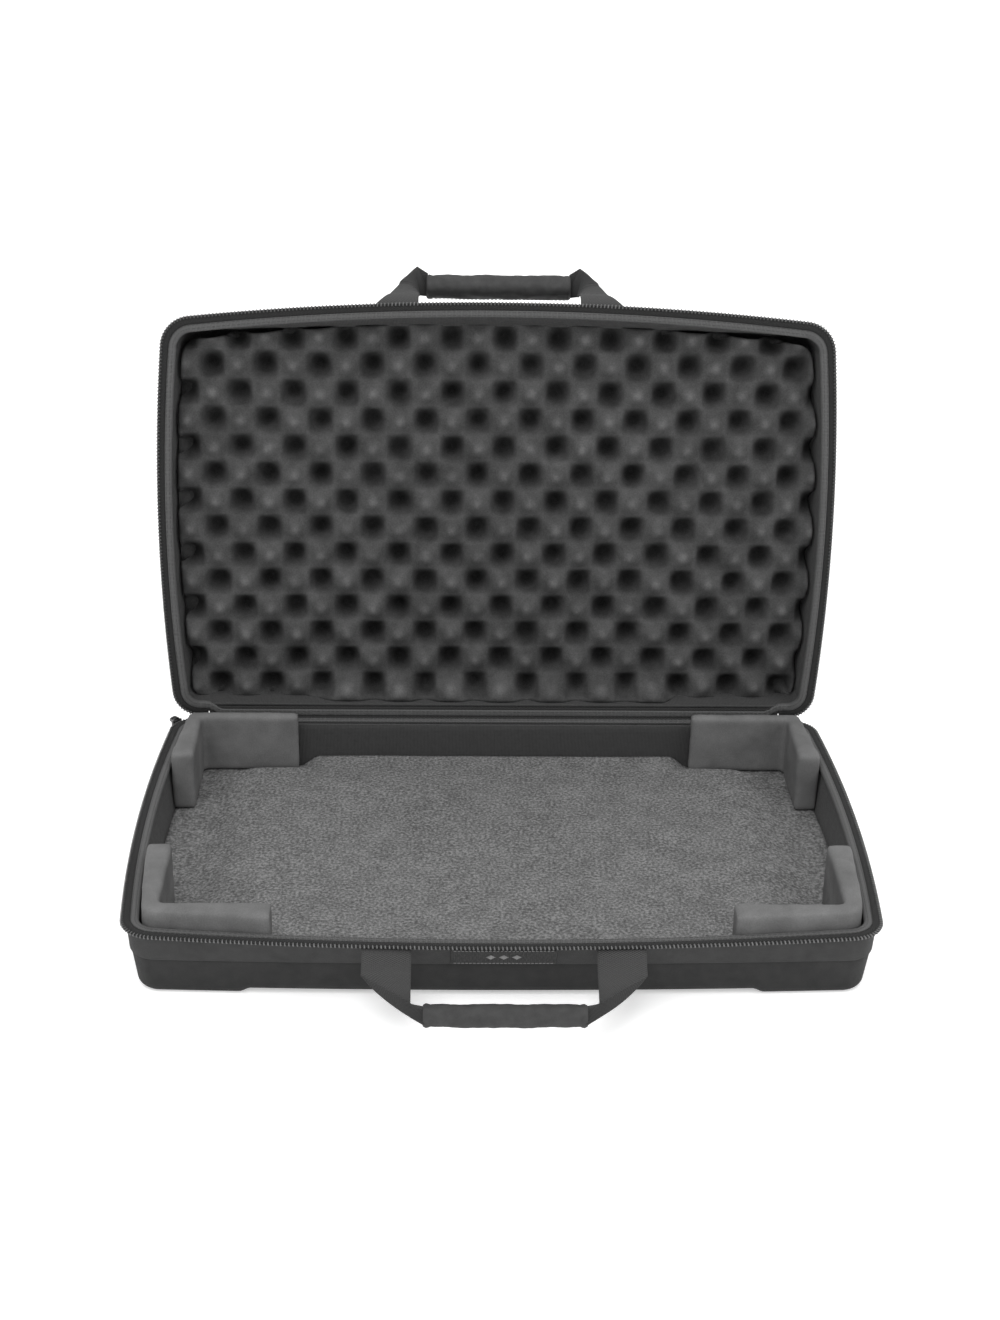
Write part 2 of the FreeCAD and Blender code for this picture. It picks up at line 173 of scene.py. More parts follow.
def outline(inset, bow=FRONT_BOW):
    """Closed outline moved in by inset, anticlockwise from the middle of the back.

    It always has the same number of points. Front and sides are large arcs, the back is straight."""
    x, y = CORNER_X - inset, HALF_DEPTH - inset
    r1, r2 = max(FRONT_R - inset, LEAST_R), max(REAR_R - inset, LEAST_R)
    side_r = (y * y + SIDE_BOW ** 2) / (2 * SIDE_BOW)
    front_r = (x * x + bow ** 2) / (2 * bow)
    cs = np.array([x + SIDE_BOW - side_r, 0.0])             # centres: side, front
    cf = np.array([0.0, front_r - y - bow])
    d = np.linalg.norm(cf - cs)
    ra, rb = side_r - r1, front_r - r1                      # the front corner's arc touches both
    k = (ra * ra - rb * rb + d * d) / (2 * d)
    h = math.sqrt(ra * ra - k * k)
    e = (cf - cs) / d
    options = [cs + k * e + s * h * np.array([-e[1], e[0]]) for s in (-1, 1)]
    c1 = max(options, key=lambda p: p[0] - p[1])
    c2 = np.array([cs[0] + math.sqrt((side_r - r2) ** 2 - (y - r2) ** 2), y - r2])
    angle = lambda v: math.atan2(v[1], v[0])
    af, a1, a2 = angle(c1 - cf), angle(c1 - cs), angle(c2 - cs)
    right = np.concatenate([
        arc(cf, front_r, -math.pi / 2, af, FRONT_STEPS)[:-1],
        arc(c1, r1, af, a1, FRONT_CORNER_STEPS)[:-1],
        arc(cs, side_r, a1, a2, SIDE_STEPS)[:-1],
        arc(c2, r2, a2, math.pi / 2, REAR_CORNER_STEPS)[:-1],
        np.stack([np.linspace(c2[0], 0, BACK_POINTS), np.full(BACK_POINTS, y)], 1),
    ])
    left = right[-2:0:-1] * (-1, 1)
    return np.concatenate([right[-1:], left, right[:-1]])


def bow_at(z):
    """Bow of the front wall at a height: full at the rim, slight from the band's lower edge down."""
    share = min(1.0, max(0.0, (z - BAND_LOW) / (SHELL_TOP - BAND_LOW)))
    return LOW_BOW + (FRONT_BOW - LOW_BOW) * share


RIM = outline(0.0)
COUNT = len(RIM)
CLOSED_RIM = np.concatenate([RIM, RIM[:1]])
LENGTH = run_lengths(CLOSED_RIM)
ZIP = slice(int(np.argmax(RIM[:, 0] < -REAR_ZIP_END)),
            COUNT - int(np.argmax(RIM[::-1, 0] > REAR_ZIP_END)))


def rim_point(s):
    return np.stack([np.interp(s % LENGTH[-1], LENGTH, CLOSED_RIM[:, i]) for i in (0, 1)], -1)


def along(s):
    """Point on the rim and its outward direction at length s from the middle of the back."""
    s = np.asarray(s, float) % LENGTH[-1]
    t = rim_point(s + 0.6) - rim_point(s - 0.6)
    t /= np.linalg.norm(t, axis=-1, keepdims=True)
    return rim_point(s), np.stack([t[..., 1], -t[..., 0]], -1)


def ease(t):
    t = np.clip(t, 0, 1)
    return t * t * (3 - 2 * t)


def wobble(points, scale, size, seed):
    """Smooth noise of one value per point, for points in mm."""
    off = Vector((seed * 7.3, seed * 3.1, seed * 5.7))
    return np.array([noise.noise(Vector(p) / scale + off) for p in points]) * size


def wobble_grid(x, y, scale, size, seed):
    flat = np.stack([x.ravel(), y.ravel(), np.zeros(x.size)], 1)
    return wobble(flat, scale, size, seed).reshape(x.shape)


def swept(name, profile, place, material, body, zipped=False, shape=None):
    """Sweeps a closed profile of (inset, z) round the outline, or only where the zip runs."""
    part = ZIP if zipped else slice(None)
    rows = [np.column_stack([outline(i)[part], np.full(len(RIM[part]), z)]) for i, z in profile]
    points = np.concatenate(rows)
    if shape is not None:
        points = shape(points)
    n, m = len(rows), len(rows[0])
    u = LENGTH[part] if zipped else LENGTH
    v = run_lengths(np.array(profile + profile[:1], float))
    faces = list(grid_faces(n, m, True, not zipped))
    uv = list(grid_uv(n, m, u, v, True, not zipped))
    if zipped:
        add_caps(faces, uv, range(0, n * m, m), range(m - 1, n * m, m), True)
    return build(name, points, faces, place, material, body, uv)


def tubes(paths, half_w, half_t, sides):
    """Elliptical tubes, closed at their ends, along many paths at once. paths is (k, n, 3)."""
    k, n, _ = paths.shape
    t = np.gradient(paths, axis=1)
    t /= np.linalg.norm(t, axis=2, keepdims=True) + 1e-9
    chord_mid = (paths[:, -1] + paths[:, 0]) / 2
    up = np.cross(paths[:, -1] - paths[:, 0], paths[:, n // 2] - chord_mid)
    up /= np.linalg.norm(up, axis=1, keepdims=True) + 1e-9
    side = np.broadcast_to(up[:, None], t.shape)
    out = np.cross(t, side)
    a = np.linspace(0, 2 * math.pi, sides, endpoint=False)
    ring = side[:, :, None] * (half_w * np.cos(a))[:, None]
    ring = ring + out[:, :, None] * (half_t * np.sin(a))[:, None]
    points = (paths[:, :, None] + ring).reshape(-1, 3)
    one = grid_faces(n, sides, False, True)
    each = n * sides
    faces = (one[None] + (np.arange(k) * each)[:, None, None]).reshape(-1, 4)
    caps = [tuple(range(i * each, i * each + sides))[::-1] for i in range(k)]
    caps += [tuple(range((i + 1) * each - sides, (i + 1) * each)) for i in range(k)]
    return points, [tuple(f) for f in faces] + caps


def smooth_solid(ob, voxel, passes):
    """Remeshes a closed piece evenly, softens its edges and applies the result."""
    m = ob.modifiers.new("even", "REMESH")
    m.mode = "VOXEL"
    m.voxel_size = voxel * MM
    s = ob.modifiers.new("soft", "SMOOTH")
    s.iterations = passes
    s.factor = 0.5
    dg = bpy.context.evaluated_depsgraph_get()
    me = bpy.data.meshes.new_from_object(ob.evaluated_get(dg), depsgraph=dg)
    ob.modifiers.clear()
    ob.data = me
    me.polygons.foreach_set("use_smooth", [True] * len(me.polygons))


def face_outward(ob):
    bm = bmesh.new()
    bm.from_mesh(ob.data)
    bmesh.ops.recalc_face_normals(bm, faces=bm.faces)
    bm.to_mesh(ob.data)
    bm.free()


# ---------------------------------------------------------------- materials

class Surface:
    """A node material built from weave, noise and speckle layers, all measured in mm."""

    def __init__(self, name, rough=0.85, uv=False, metal=0.0, sheen=0.0, spec=0.3):
        self.mat = bpy.data.materials.new(name)
        self.mat.use_nodes = True
        self.tree = self.mat.node_tree
        self.bsdf = self.tree.nodes["Principled BSDF"]
        self.bsdf.inputs["Roughness"].default_value = rough
        self.bsdf.inputs["Metallic"].default_value = metal
        self.bsdf.inputs["Sheen Weight"].default_value = sheen
        self.bsdf.inputs["Specular IOR Level"].default_value = spec
        if uv:
            self.coords = self.node("ShaderNodeUVMap", uv_map="weave").outputs[0]
        else:
            scale = self.node("ShaderNodeVectorMath", operation="SCALE")
            scale.inputs["Scale"].default_value = 1 / MM
            self.link(self.node("ShaderNodeTexCoord").outputs["Object"], scale.inputs[0])
            self.coords = scale.outputs[0]

    def node(self, kind, **values):
        n = self.tree.nodes.new(kind)
        for key, value in values.items():
            setattr(n, key, value)
        return n

    def link(self, a, b):
        self.tree.links.new(a, b)

    def math(self, operation, a, b):
        n = self.node("ShaderNodeMath", operation=operation)
        for i, value in enumerate((a, b)):
            if isinstance(value, (int, float)):
                n.inputs[i].default_value = value
            else:
                self.link(value, n.inputs[i])
        return n.outputs[0]

    def mix(self, a, share_a, b, share_b):
        return self.math("ADD", self.math("MULTIPLY", a, share_a), self.math("MULTIPLY", b, share_b))

    def noise(self, size, detail=3.0, rough=0.55, stretch=None):
        """Noise with features of about size mm, from 0 to 1."""
        n = self.node("ShaderNodeTexNoise")
        n.inputs["Scale"].default_value = 1 / size
        n.inputs["Detail"].default_value = detail
        n.inputs["Roughness"].default_value = rough
        source = self.coords
        if stretch:
            m = self.node("ShaderNodeMapping")
            m.inputs["Scale"].default_value = stretch
            self.link(source, m.inputs["Vector"])
            source = m.outputs[0]
        self.link(source, n.inputs["Vector"])
        return n.outputs["Fac"]

    def bands(self, period, direction):
        n = self.node("ShaderNodeTexWave", bands_direction=direction)
        n.inputs["Scale"].default_value = math.pi / 10 / period
        self.link(self.coords, n.inputs["Vector"])
        return n.outputs["Fac"]

    def weave(self, du, dv):
        """Plain weave: yarns of width du and dv that pass over each other by turns."""
        a, b = self.bands(du, "X"), self.bands(dv, "Y")
        product = self.math("MULTIPLY", self.math("SUBTRACT", a, 0.5), self.math("SUBTRACT", b, 0.5))
        return self.math("ADD", self.math("MULTIPLY", product, 2.0), 0.5)

    def ramp(self, fac, stops):
        """Grey ramp of (position, value)."""
        n = self.node("ShaderNodeValToRGB")
        e = n.color_ramp.elements
        while len(e) < len(stops):
            e.new(0.5)
        for item, (position, value) in zip(e, stops):
            item.position = position
            item.color = (value, value, value, 1)
        self.link(fac, n.inputs[0])
        return n.outputs[0]

    def colour(self, source):
        self.link(source, self.bsdf.inputs["Base Color"])

    def roughness(self, source):
        self.link(source, self.bsdf.inputs["Roughness"])

    def bump(self, *layers):
        """Layers of (height, depth in mm) added one on another. Returns the finished material."""
        previous = None
        for height, depth in layers:
            n = self.node("ShaderNodeBump")
            n.inputs["Distance"].default_value = depth * MM
            self.link(height, n.inputs["Height"])
            if previous:
                self.link(previous, n.inputs["Normal"])
            previous = n.outputs[0]
        self.link(previous, self.bsdf.inputs["Normal"])
        return self.mat


def tone(value):
    """Linear grey for a display value from 0 to 255."""
    v = value / 255
    return v / 12.92 if v <= 0.04045 else ((v + 0.055) / 1.055) ** 2.4


def laminate(name, dark, light):
    """Fine fabric laminated on moulded foam."""
    s = Surface(name, uv=True, spec=0.2)
    cloth = s.weave(1.1, 1.1)
    mottle = s.noise(9, 4)
    s.colour(s.ramp(s.mix(cloth, 0.45, mottle, 0.55), [(0.3, tone(dark)), (0.75, tone(light))]))
    s.roughness(s.ramp(s.noise(30, 2), [(0.35, 0.62), (0.7, 0.78)]))
    return s.bump((cloth, 0.16), (s.noise(2.4, 2), 0.08))


def webbing_cloth(name, dark, light):
    """Coarse ribbed weave of straps and tapes."""
    s = Surface(name, uv=True, spec=0.3, sheen=0.05)
    ribs = s.weave(3.2, 1.7)
    yarn = s.noise(1.2, 2, stretch=(1.0, 0.35, 1.0))
    s.colour(s.ramp(s.mix(ribs, 0.7, yarn, 0.3), [(0.25, tone(dark)), (0.8, tone(light))]))
    s.roughness(s.ramp(yarn, [(0.3, 0.6), (0.7, 0.85)]))
    return s.bump((ribs, 0.5), (yarn, 0.12))


def foam(name, dark, light, cell=1.3, depth=0.35, big=26.0, speckle=0.0, pits=False):
    """Open cells and large soft patches. With pits, a point attribute taken from the piece's heights
    paints shade into the hollows and a highlight onto the peaks.
    """
    s = Surface(name, rough=0.95, spec=0.15)
    cells = s.noise(cell, 3, 0.6)
    large = s.noise(big, 3)
    mixed = s.mix(cells, 0.4 + speckle, large, 0.6 - speckle)
    stops = [(0.36, tone(dark)), (0.5, tone((dark + light) / 2)), (0.64, tone(light))]
    if pits:
        # painted shade in the hollows and painted highlight on the peaks: the height attribute shifts
        # the ramp, whose end stops are darker and lighter than the foam itself
        pit_shade_peak_highlight = s.node("ShaderNodeAttribute", attribute_name="pit_shade_peak_highlight").outputs["Fac"]
        mixed = s.math("ADD", mixed, pit_shade_peak_highlight)
        stops = [(0.05, tone(dark * 0.36))] + stops + [(0.85, tone(light * 1.25))]
    s.colour(s.ramp(mixed, stops))
    s.roughness(s.ramp(large, [(0.3, 0.86), (0.7, 0.98)]))
    return s.bump((cells, depth), (large, 0.8))


def binding_cloth(name, dark, light):
    """Thin ribbed tape with fine fibres."""
    s = Surface(name, uv=True, spec=0.4, sheen=0.08)
    ribs = s.bands(1.3, "X")
    cross = s.bands(0.9, "Y")
    fibre = s.noise(2.2, 3, stretch=(0.4, 1.6, 1.0))
    s.colour(s.ramp(s.mix(ribs, 0.4, fibre, 0.6), [(0.25, tone(dark)), (0.8, tone(light))]))
    s.roughness(s.ramp(fibre, [(0.3, 0.5), (0.7, 0.72)]))
    return s.bump((ribs, 0.25), (cross, 0.08), (s.noise(14, 2), 0.5))


def moulded(name, dark, light, rough=0.45, metal=0.0):
    """Plastic or metal with a fine grain and worn patches."""
    s = Surface(name, metal=metal, spec=0.5)
    grain = s.noise(0.9, 2)
    wear = s.noise(4.5, 5, 0.65)
    s.colour(s.ramp(wear, [(0.35, tone(dark)), (0.7, tone(light))]))
    s.roughness(s.ramp(wear, [(0.3, rough * 0.75), (0.75, min(1.0, rough * 1.35))]))
    return s.bump((grain, 0.03), (wear, 0.06))


SHELL = laminate("shell laminate", 34, 46)
BAND = laminate("band laminate", 43, 57)
LINING = binding_cloth("ribbed lining", 44, 58)
TAPE = webbing_cloth("zip tape", 18, 30)
COIL = moulded("zip coil", 74, 104, 0.42)
STOPS = moulded("zip stop", 30, 46, 0.6)
BINDING = binding_cloth("binding", 60, 84)
HINGE = webbing_cloth("hinge fabric", 28, 42)
PAD = foam("speckled felt", 68, 124, cell=2.4, depth=0.5, big=18, speckle=0.42)
BLOCK = foam("block foam", 90, 110, cell=1.0, depth=0.25, big=30)
EGG = foam("egg foam", 54, 76, cell=1.3, depth=0.35, big=20, pits=True)
STRAP = webbing_cloth("webbing", 44, 66)
# darker copy of the webbing: painted shade on the folded-over part of each handle leg
STRAP_FOLD_SHADE = webbing_cloth("webbing fold painted shade", 34, 52)
GRIP = laminate("grip wrap", 46, 70)
THREAD = moulded("thread", 46, 62, 0.7)
LABEL = webbing_cloth("woven patch", 26, 38)
MOTIF = webbing_cloth("patch motif", 100, 130)
METAL = moulded("dark metal", 84, 120, 0.34, metal=1.0)


# ---------------------------------------------------------------- shells and linings

# (inset, z) down the raised band, and how the rings over a floor shrink towards its middle
BAND_PROFILE = [
    (4.6, SHELL_TOP), (4.5, SHELL_TOP - 0.7), (5.1, 50.0), (5.6, 42.0), (5.9, BAND_LOW + 1.3),
    (6.1, BAND_LOW + 0.5), (6.6, BAND_LOW), (7.4, BAND_LOW - 0.5),
]
FLOOR_RINGS = (0.96, 0.9, 0.82, 0.74, 0.66, 0.56, 0.45, 0.33, 0.2, 0.08)
WALL_POINTS, EDGE_POINTS = 7, 9
FOOT_X, FOOT_Y, FOOT_SLOPE = 197, 96, 9     # inner ends of the feet, and the length of their slopes


def wall_profile(top, draft, z_top, z_low, radius):
    """(inset, z) from the top of a wall down to where its rounding meets the floor."""
    lean = math.atan2(draft, z_top - z_low)
    centre_z = z_low + radius
    on_wall = top + draft * (z_top - centre_z) / (z_top - z_low)
    centre = on_wall + radius / math.cos(lean)
    path = [(top + draft * (z_top - z) / (z_top - z_low), z)
            for z in np.linspace(z_top, centre_z + radius * math.sin(lean), WALL_POINTS)]
    for a in np.linspace(-lean, math.pi / 2, EDGE_POINTS)[1:]:
        path.append((centre - radius * math.cos(a), centre_z - radius * math.sin(a)))
    return path


def cup_points(profile, floor_z):
    """Rows for a profile, then shrinking rings towards the middle of the floor."""
    rows = [np.column_stack([outline(i, bow_at(z)), np.full(COUNT, z)]) for i, z in profile]
    edge = rows[-1]
    for share in FLOOR_RINGS:
        ring = edge * (share, share, 1)
        ring[:, 2] = floor_z
        rows.append(ring)
    return rows


def cup(name, rows, v, flat_rows, place, material, body):
    """Closed cup from rows that run from the middle of the underside, over the rim, to the middle
    inside. flat_rows are mapped from above, like both middles."""
    points = np.concatenate(rows)
    n = len(rows)
    faces = list(grid_faces(n, COUNT, False, True)[:, ::-1])
    uv = list(grid_uv(n, COUNT, LENGTH, v, False, True)[:, ::-1])
    for row in flat_rows:
        for k in range(row * COUNT, (row + 1) * COUNT):
            uv[k] = points[faces[k]][:, :2]
    add_caps(faces, uv, range(COUNT), range((n - 1) * COUNT, n * COUNT), False, points)
    return build(name, points, faces, place, material, body, uv)


def foot_share(points):
    """1 where a foot stands, 0 in the raised cross between the feet, with sloping sides."""
    x, y = np.abs(points[:, 0]), np.abs(points[:, 1])
    return ease(np.minimum((x - FOOT_X) / FOOT_SLOPE, (y - FOOT_Y) / FOOT_SLOPE))[:, None]


def outer_wall(floor_z, radius):
    """Outer skin: raised band, then the wall below it down to a floor."""
    wall = wall_profile(7.3, 3.9, BAND_LOW - 1.6, floor_z, radius)
    return cup_points(BAND_PROFILE + wall, floor_z)


def shell(name, place, body, floor_z, feet):
    """Moulded wall: outer skin with the raised band, floor, and the inner skin behind the lining."""
    inner_floor = floor_z + (3.5 if feet else 3.0)
    inner = [(9.5, SHELL_TOP)] + wall_profile(9.6, 4.0, SHELL_TOP - 0.5, inner_floor, 17.0)
    rows_out = outer_wall(floor_z, 9.0 if feet else 22.0)
    if feet:
        for i, (row, standing) in enumerate(zip(rows_out, outer_wall(0.0, 8.0))):
            share = foot_share(row)
            rows_out[i] = row * (1 - share) + standing * share
    rows = rows_out[::-1] + cup_points(inner, inner[-1][1])
    lengths = [0.0]
    for a, b in zip(rows, rows[1:]):
        lengths.append(lengths[-1] + np.linalg.norm(np.median(np.abs(b - a), axis=0)))
    n, rings = len(rows), len(FLOOR_RINGS)
    flat_rows = (*range(rings), *range(n - rings - 1, n - 1))
    ob = cup(name, rows, np.array(lengths), flat_rows, place, SHELL, body)
    ob.data.materials.append(BAND)
    band_end = len(rows_out) - 1
    for row in range(band_end - len(BAND_PROFILE) + 1, band_end):
        for poly in ob.data.polygons[row * COUNT:(row + 1) * COUNT]:
            poly.material_index = 1
    return ob


def lining(name, place, body, top_z, floor_z):
    """Lining against the inside of the wall, closed over the floor."""
    inner = [(12.4, top_z)] + wall_profile(12.6, 4.0, top_z - 0.4, floor_z + 1.2, 13.5)
    outer = [(9.8, top_z)] + wall_profile(9.9, 4.0, top_z - 0.4, floor_z + 0.2, 16.5)
    rows = cup_points(outer, outer[-1][1])[::-1] + cup_points(inner, inner[-1][1])
    v = np.cumsum([0.0] + [4.0] * (len(rows) - 1))
    return cup(name, rows, v, (), place, LINING, body)


base_shell = shell("base_shell_skin", in_base, "base", 3.0, True)
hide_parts("base_shell")
lid_shell = shell("lid_shell_skin", in_lid, "lid", 4.0, False)
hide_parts("lid_shell")
base_lining = lining("base_lining_skin", in_base, "base", SHELL_TOP, 6.5)
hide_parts("base_lining")
lid_lining = lining("lid_lining_skin", in_lid, "lid", SHELL_TOP, 7.0)
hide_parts("lid_lining")


# ---------------------------------------------------------------- zip, binding, hinge

# closed profiles of (inset, z)
TAPE_PROFILE = [
    (2.7, 58.3), (2.5, 58.6), (2.7, 58.95), (6.0, 59.0), (9.4, 59.0), (9.4, 58.25), (6.0, 58.25),
]
BINDING_PROFILE = [
    (7.8, 59.05), (8.0, 59.42), (8.7, 59.64), (10.4, 59.7), (12.4, 59.64), (13.4, 59.2), (13.9, 58.3),
    (14.0, 56.6), (13.9, 55.6), (13.4, 55.3), (12.9, 55.6), (12.8, 56.8), (12.7, 58.1), (10.0, 58.9),
]
TO_HINGE = 6.6                              # how far the binding is drawn out along the hinge
STITCH_Z, STITCH_PITCH, STITCH_LENGTH = 59.42, 4.4, 3.3
COIL_PITCH, COIL_TOP, COIL_LOW = 3.2, 59.35, 57.7
COIL_MARGIN = 4.5                           # from each end of the tape
HINGE_COLUMNS, HINGE_STEPS = 130, 22
HINGE_REST = 5.4                            # how far the strip runs on under the binding's ends


def to_hinge(points):
    """Draws a row along the back out towards the hinge, between the two ends of the zip."""
    shift = TO_HINGE * ease((266 - np.abs(points[:, 0])) / 16) * (points[:, 1] > 150)
    out = points.copy()
    out[:, 1] += shift
    return out


def pucker(seed):
    """Small unevenness of a sewn edge."""
    def shape(points):
        inside = (points[:, 2] < 58.5).astype(float)
        shift = wobble(points * (1, 1, 0.2), 11.0, 0.35, seed) * inside
        out = to_hinge(points)
        out[:, 2] -= np.abs(shift) * 0.4 + np.abs(wobble(points * (1, 1, 0), 7.0, 0.12, seed + 3))
        return out
    return shape


def stitches(name, place, body, inset):
    """A row of lock stitches that follows the outline."""
    s = np.arange(0.0, LENGTH[-1] - STITCH_PITCH / 2, STITCH_PITCH)
    t = np.linspace(-0.5, 0.5, 5) * STITCH_LENGTH
    p, out = along(s[:, None] + t)
    p = p - out * inset
    rise = 0.28 * (1 - (2 * t / STITCH_LENGTH) ** 2)
    height = STITCH_Z + np.broadcast_to(rise, p.shape[:2])
    paths = np.concatenate([p, height[..., None]], -1)
    paths = to_hinge(paths.reshape(-1, 3)).reshape(paths.shape)
    points, faces = tubes(paths, 0.3, 0.24, 5)
    return build(name, points, faces, place, THREAD, body)


def coil(name, place, body):
    """Coil turns that wrap the edge of the tape, one mesh."""
    top, low = COIL_TOP, COIL_LOW
    s = np.arange(LENGTH[ZIP][0] + COIL_MARGIN, LENGTH[ZIP][-1] - COIL_MARGIN, COIL_PITCH)
    loop = np.array([
        (3.0, top), (2.1, top + 0.02), (1.1, top - 0.1), (0.5, top - 0.5), (0.38, (top + low) / 2),
        (0.5, low + 0.5), (1.1, low + 0.1), (2.1, low - 0.02), (3.0, low)])
    lean = np.linspace(-0.45, 0.45, len(loop))
    p, out = along(s[:, None] + lean)
    p = p - out * loop[:, 0][:, None]
    paths = np.concatenate([p, np.broadcast_to(loop[:, 1], p.shape[:2])[..., None]], -1)
    points, faces = tubes(paths, 0.62, 0.34, 8)
    return build(name, points, faces, place, COIL, body)


def cord_inside(name, place, body):
    """Dark filler cord that the coil turns close over."""
    turns = np.linspace(0, 2 * math.pi, 9)[:-1]
    ring = [(1.9 + 0.95 * math.cos(a), 58.35 + 0.75 * math.sin(a)) for a in turns]
    return swept(name, ring, place, TAPE, body, zipped=True)


for half, place, body in (("base", in_base, "base"), ("lid", in_lid, "lid")):
    tape = swept(half + "_tape", TAPE_PROFILE, place, TAPE, body, zipped=True)
    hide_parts(half + "_zip_tape")
    teeth = coil(half + "_coil", place, body)
    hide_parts(half + "_zip_coil")
    cord_inside(half + "_coil_cord", place, body)
    edge = swept(half + "_binding", BINDING_PROFILE, place, BINDING, body, shape=pucker(len(half)))
    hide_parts(half + "_rim_binding")
    stitches(half + "_binding_stitches", place, body, 12.0)
    stitches(half + "_tape_stitches", place, body, 8.9)
    refinish(half + "_zip_stops", STOPS)


def hinge_fabric():
    """One strip from the base, round the fold, to the lid, shaped for the lid at rest."""
    lid_side = in_lid([(0, 182.0, 58.5), (0, 178.0, 58.55), (0, 173.6, 58.6)]) / MM - (0, SHIFT_Y, 0)
    path = [(173.6, 58.6), (178.0, 58.55), (181.4, 58.5), (183.0, 58.7), (184.1, 59.5)]
    path += [(p[1], p[2]) for p in lid_side]
    path = np.array(path)
    at = np.linspace(0, len(path) - 1, HINGE_STEPS)
    fine = np.stack([np.interp(at, np.arange(len(path)), path[:, i]) for i in (0, 1)], 1)
    for _ in range(2):
        fine[1:-1] = (fine[:-2] + 2 * fine[1:-1] + fine[2:]) / 4
    step = np.gradient(fine, axis=0)
    normal = np.stack([step[:, 1], -step[:, 0]], 1) / np.linalg.norm(step, axis=1)[:, None]
    loop = np.concatenate([fine + normal * 0.35, (fine - normal * 0.35)[::-1]])
    m = HINGE_COLUMNS
    x = np.linspace(-HINGE_HALF - HINGE_REST, HINGE_HALF + HINGE_REST, m)
    points = np.concatenate([np.column_stack([x, np.full(m, y), np.full(m, z)]) for y, z in loop])
    n = len(loop)
    v = run_lengths(np.concatenate([loop, loop[:1]]))
    faces, uv = list(grid_faces(n, m, True)), list(grid_uv(n, m, x, v, True))
    add_caps(faces, uv, range(0, n * m, m), range(m - 1, n * m, m), False)
    ob = build("hinge_strip", points, faces, in_base, HINGE, None, uv)
    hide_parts("base_hinge_leaf", "lid_hinge_leaf")
    in_base([(0, 181.6, 58.6)])[0]
    in_base([(0, 184.6, 61.0)])[0]
    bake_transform(ob)


hinge_fabric()


# ---------------------------------------------------------------- foam

EGG_PITCH_X, EGG_PITCH_Y = 23.6, 24.9       # half a period: from a pit to the next peak
EGG_START_X, EGG_START_Y = 30.0, -21.8
BLOCK_END_X = 180                           # where the long leg of a corner block ends
BLOCK_IN_X, BLOCK_IN_Y = 267, 156           # inner corner of a block
BLOCK_LEVELS = ((16.2, 18.2), (15.3, 46.0), (16.0, 74.0))      # (inset, z) of its outer face


def bowed_grid(inset, nx, ny, bow=FRONT_BOW):
    """Even grid of x, y that fills the outline at inset, with rounded corners."""
    x, y = CORNER_X - inset, HALF_DEPTH - inset
    u, v = np.meshgrid(np.linspace(-1, 1, nx), np.linspace(-1, 1, ny))
    r = np.where(v < 0, max(FRONT_R - inset, LEAST_R), max(REAR_R - inset, LEAST_R))
    a, b = np.abs(u) * x, np.abs(v) * y
    p, q = np.clip((a - x + r) / r, 0, 1), np.clip((b - y + r) / r, 0, 1)
    a = np.where((p > 0) & (q > 0), x - r + r * p * np.sqrt(1 - q * q / 2), a)
    b = np.where((p > 0) & (q > 0), y - r + r * q * np.sqrt(1 - p * p / 2), b)
    px, py = np.sign(u) * a, np.sign(v) * b
    px = px * (1 + SIDE_BOW / x * (1 - (py / y) ** 2))
    py = np.where(v < 0, py * (1 + bow / y * (1 - np.clip(px / x, -1, 1) ** 2)), py)
    return px, py


def slab(name, x, y, top, bottom, place, material, body, shrink=1.0):
    """Closed slab between two height fields over one grid, whose underside may be a little smaller."""
    up = np.stack([x, y, top], -1).reshape(-1, 3)
    down = np.stack([x * shrink, y * shrink, bottom], -1).reshape(-1, 3)
    return build(name, np.concatenate([up, down]), slab_faces(*x.shape), place, material, body)


def egg_crate():
    """Convoluted foam sheet in the lid: round pits in a lattice, small peaks, cut along its edges."""
    x, y = bowed_grid(16.8, 280, 170)
    y = y + ease((y - 60) / 106) * 3.6 * (y > 60) + ease((-y - 60) / 110) * 5.2 * (y < -60)
    drift = wobble_grid(x, y, 90.0, 2.4, 4)
    across = np.sin(math.pi * (x + EGG_START_X + drift) / EGG_PITCH_X)
    wave = across * np.sin(math.pi * (y + EGG_START_Y + drift * 0.6) / EGG_PITCH_Y)
    pit = np.clip(-wave, 0, 1)
    peak = np.clip(wave, 0, 1)
    uneven = wobble_grid(x, y, 60.0, 1.2, 7) + wobble_grid(x, y, 9.0, 0.5, 5)
    top = 38.5 + peak ** 1.4 * 6.5 - 24.0 * pit ** 1.05 + uneven
    near_hinge = ease((y - 146) / 22) * ease((180 - np.abs(x)) / 26)     # between the rear blocks only
    top = np.minimum(top + near_hinge * 15.5, 45.0 + near_hinge * 11.5)
    ob = slab("lid_egg_foam", x, y, top, np.full(x.shape, 10.3), in_lid, EGG, "lid", 0.95)
    # painted shade and highlight: negative in the pits to darken them, positive on the peaks to
    # lighten them
    pit_shade_peak_highlight = 0.22 * peak ** 5 - 0.26 * pit ** 1.4
    ob.data.attributes.new("pit_shade_peak_highlight", "FLOAT", "POINT").data.foreach_set(
        "value", np.concatenate([pit_shade_peak_highlight.ravel(), np.zeros(x.size)]).astype(np.float32))
    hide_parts("lid_foam")


def pad():
    """Speckled soft sheet on the floor, raised between the blocks and pressed down under them."""
    x, y = bowed_grid(17.2, 200, 122, LOW_BOW)
    a, b = np.abs(x), np.abs(y)
    middle = ease((181 - a) / 20) * ease((173 - b) / 6)
    ends = ease((266 - a) / 56) * ease((156 - b) / 14)
    rise = np.maximum(middle, ends)
    uneven = wobble_grid(x, y, 70.0, 0.9, 8) * rise
    top = 17.8 + 11.0 * rise + uneven
    ob = slab("floor_felt", x, y, top, np.full(x.shape, 8.6), in_base, PAD, "base")
    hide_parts("floor_pad")


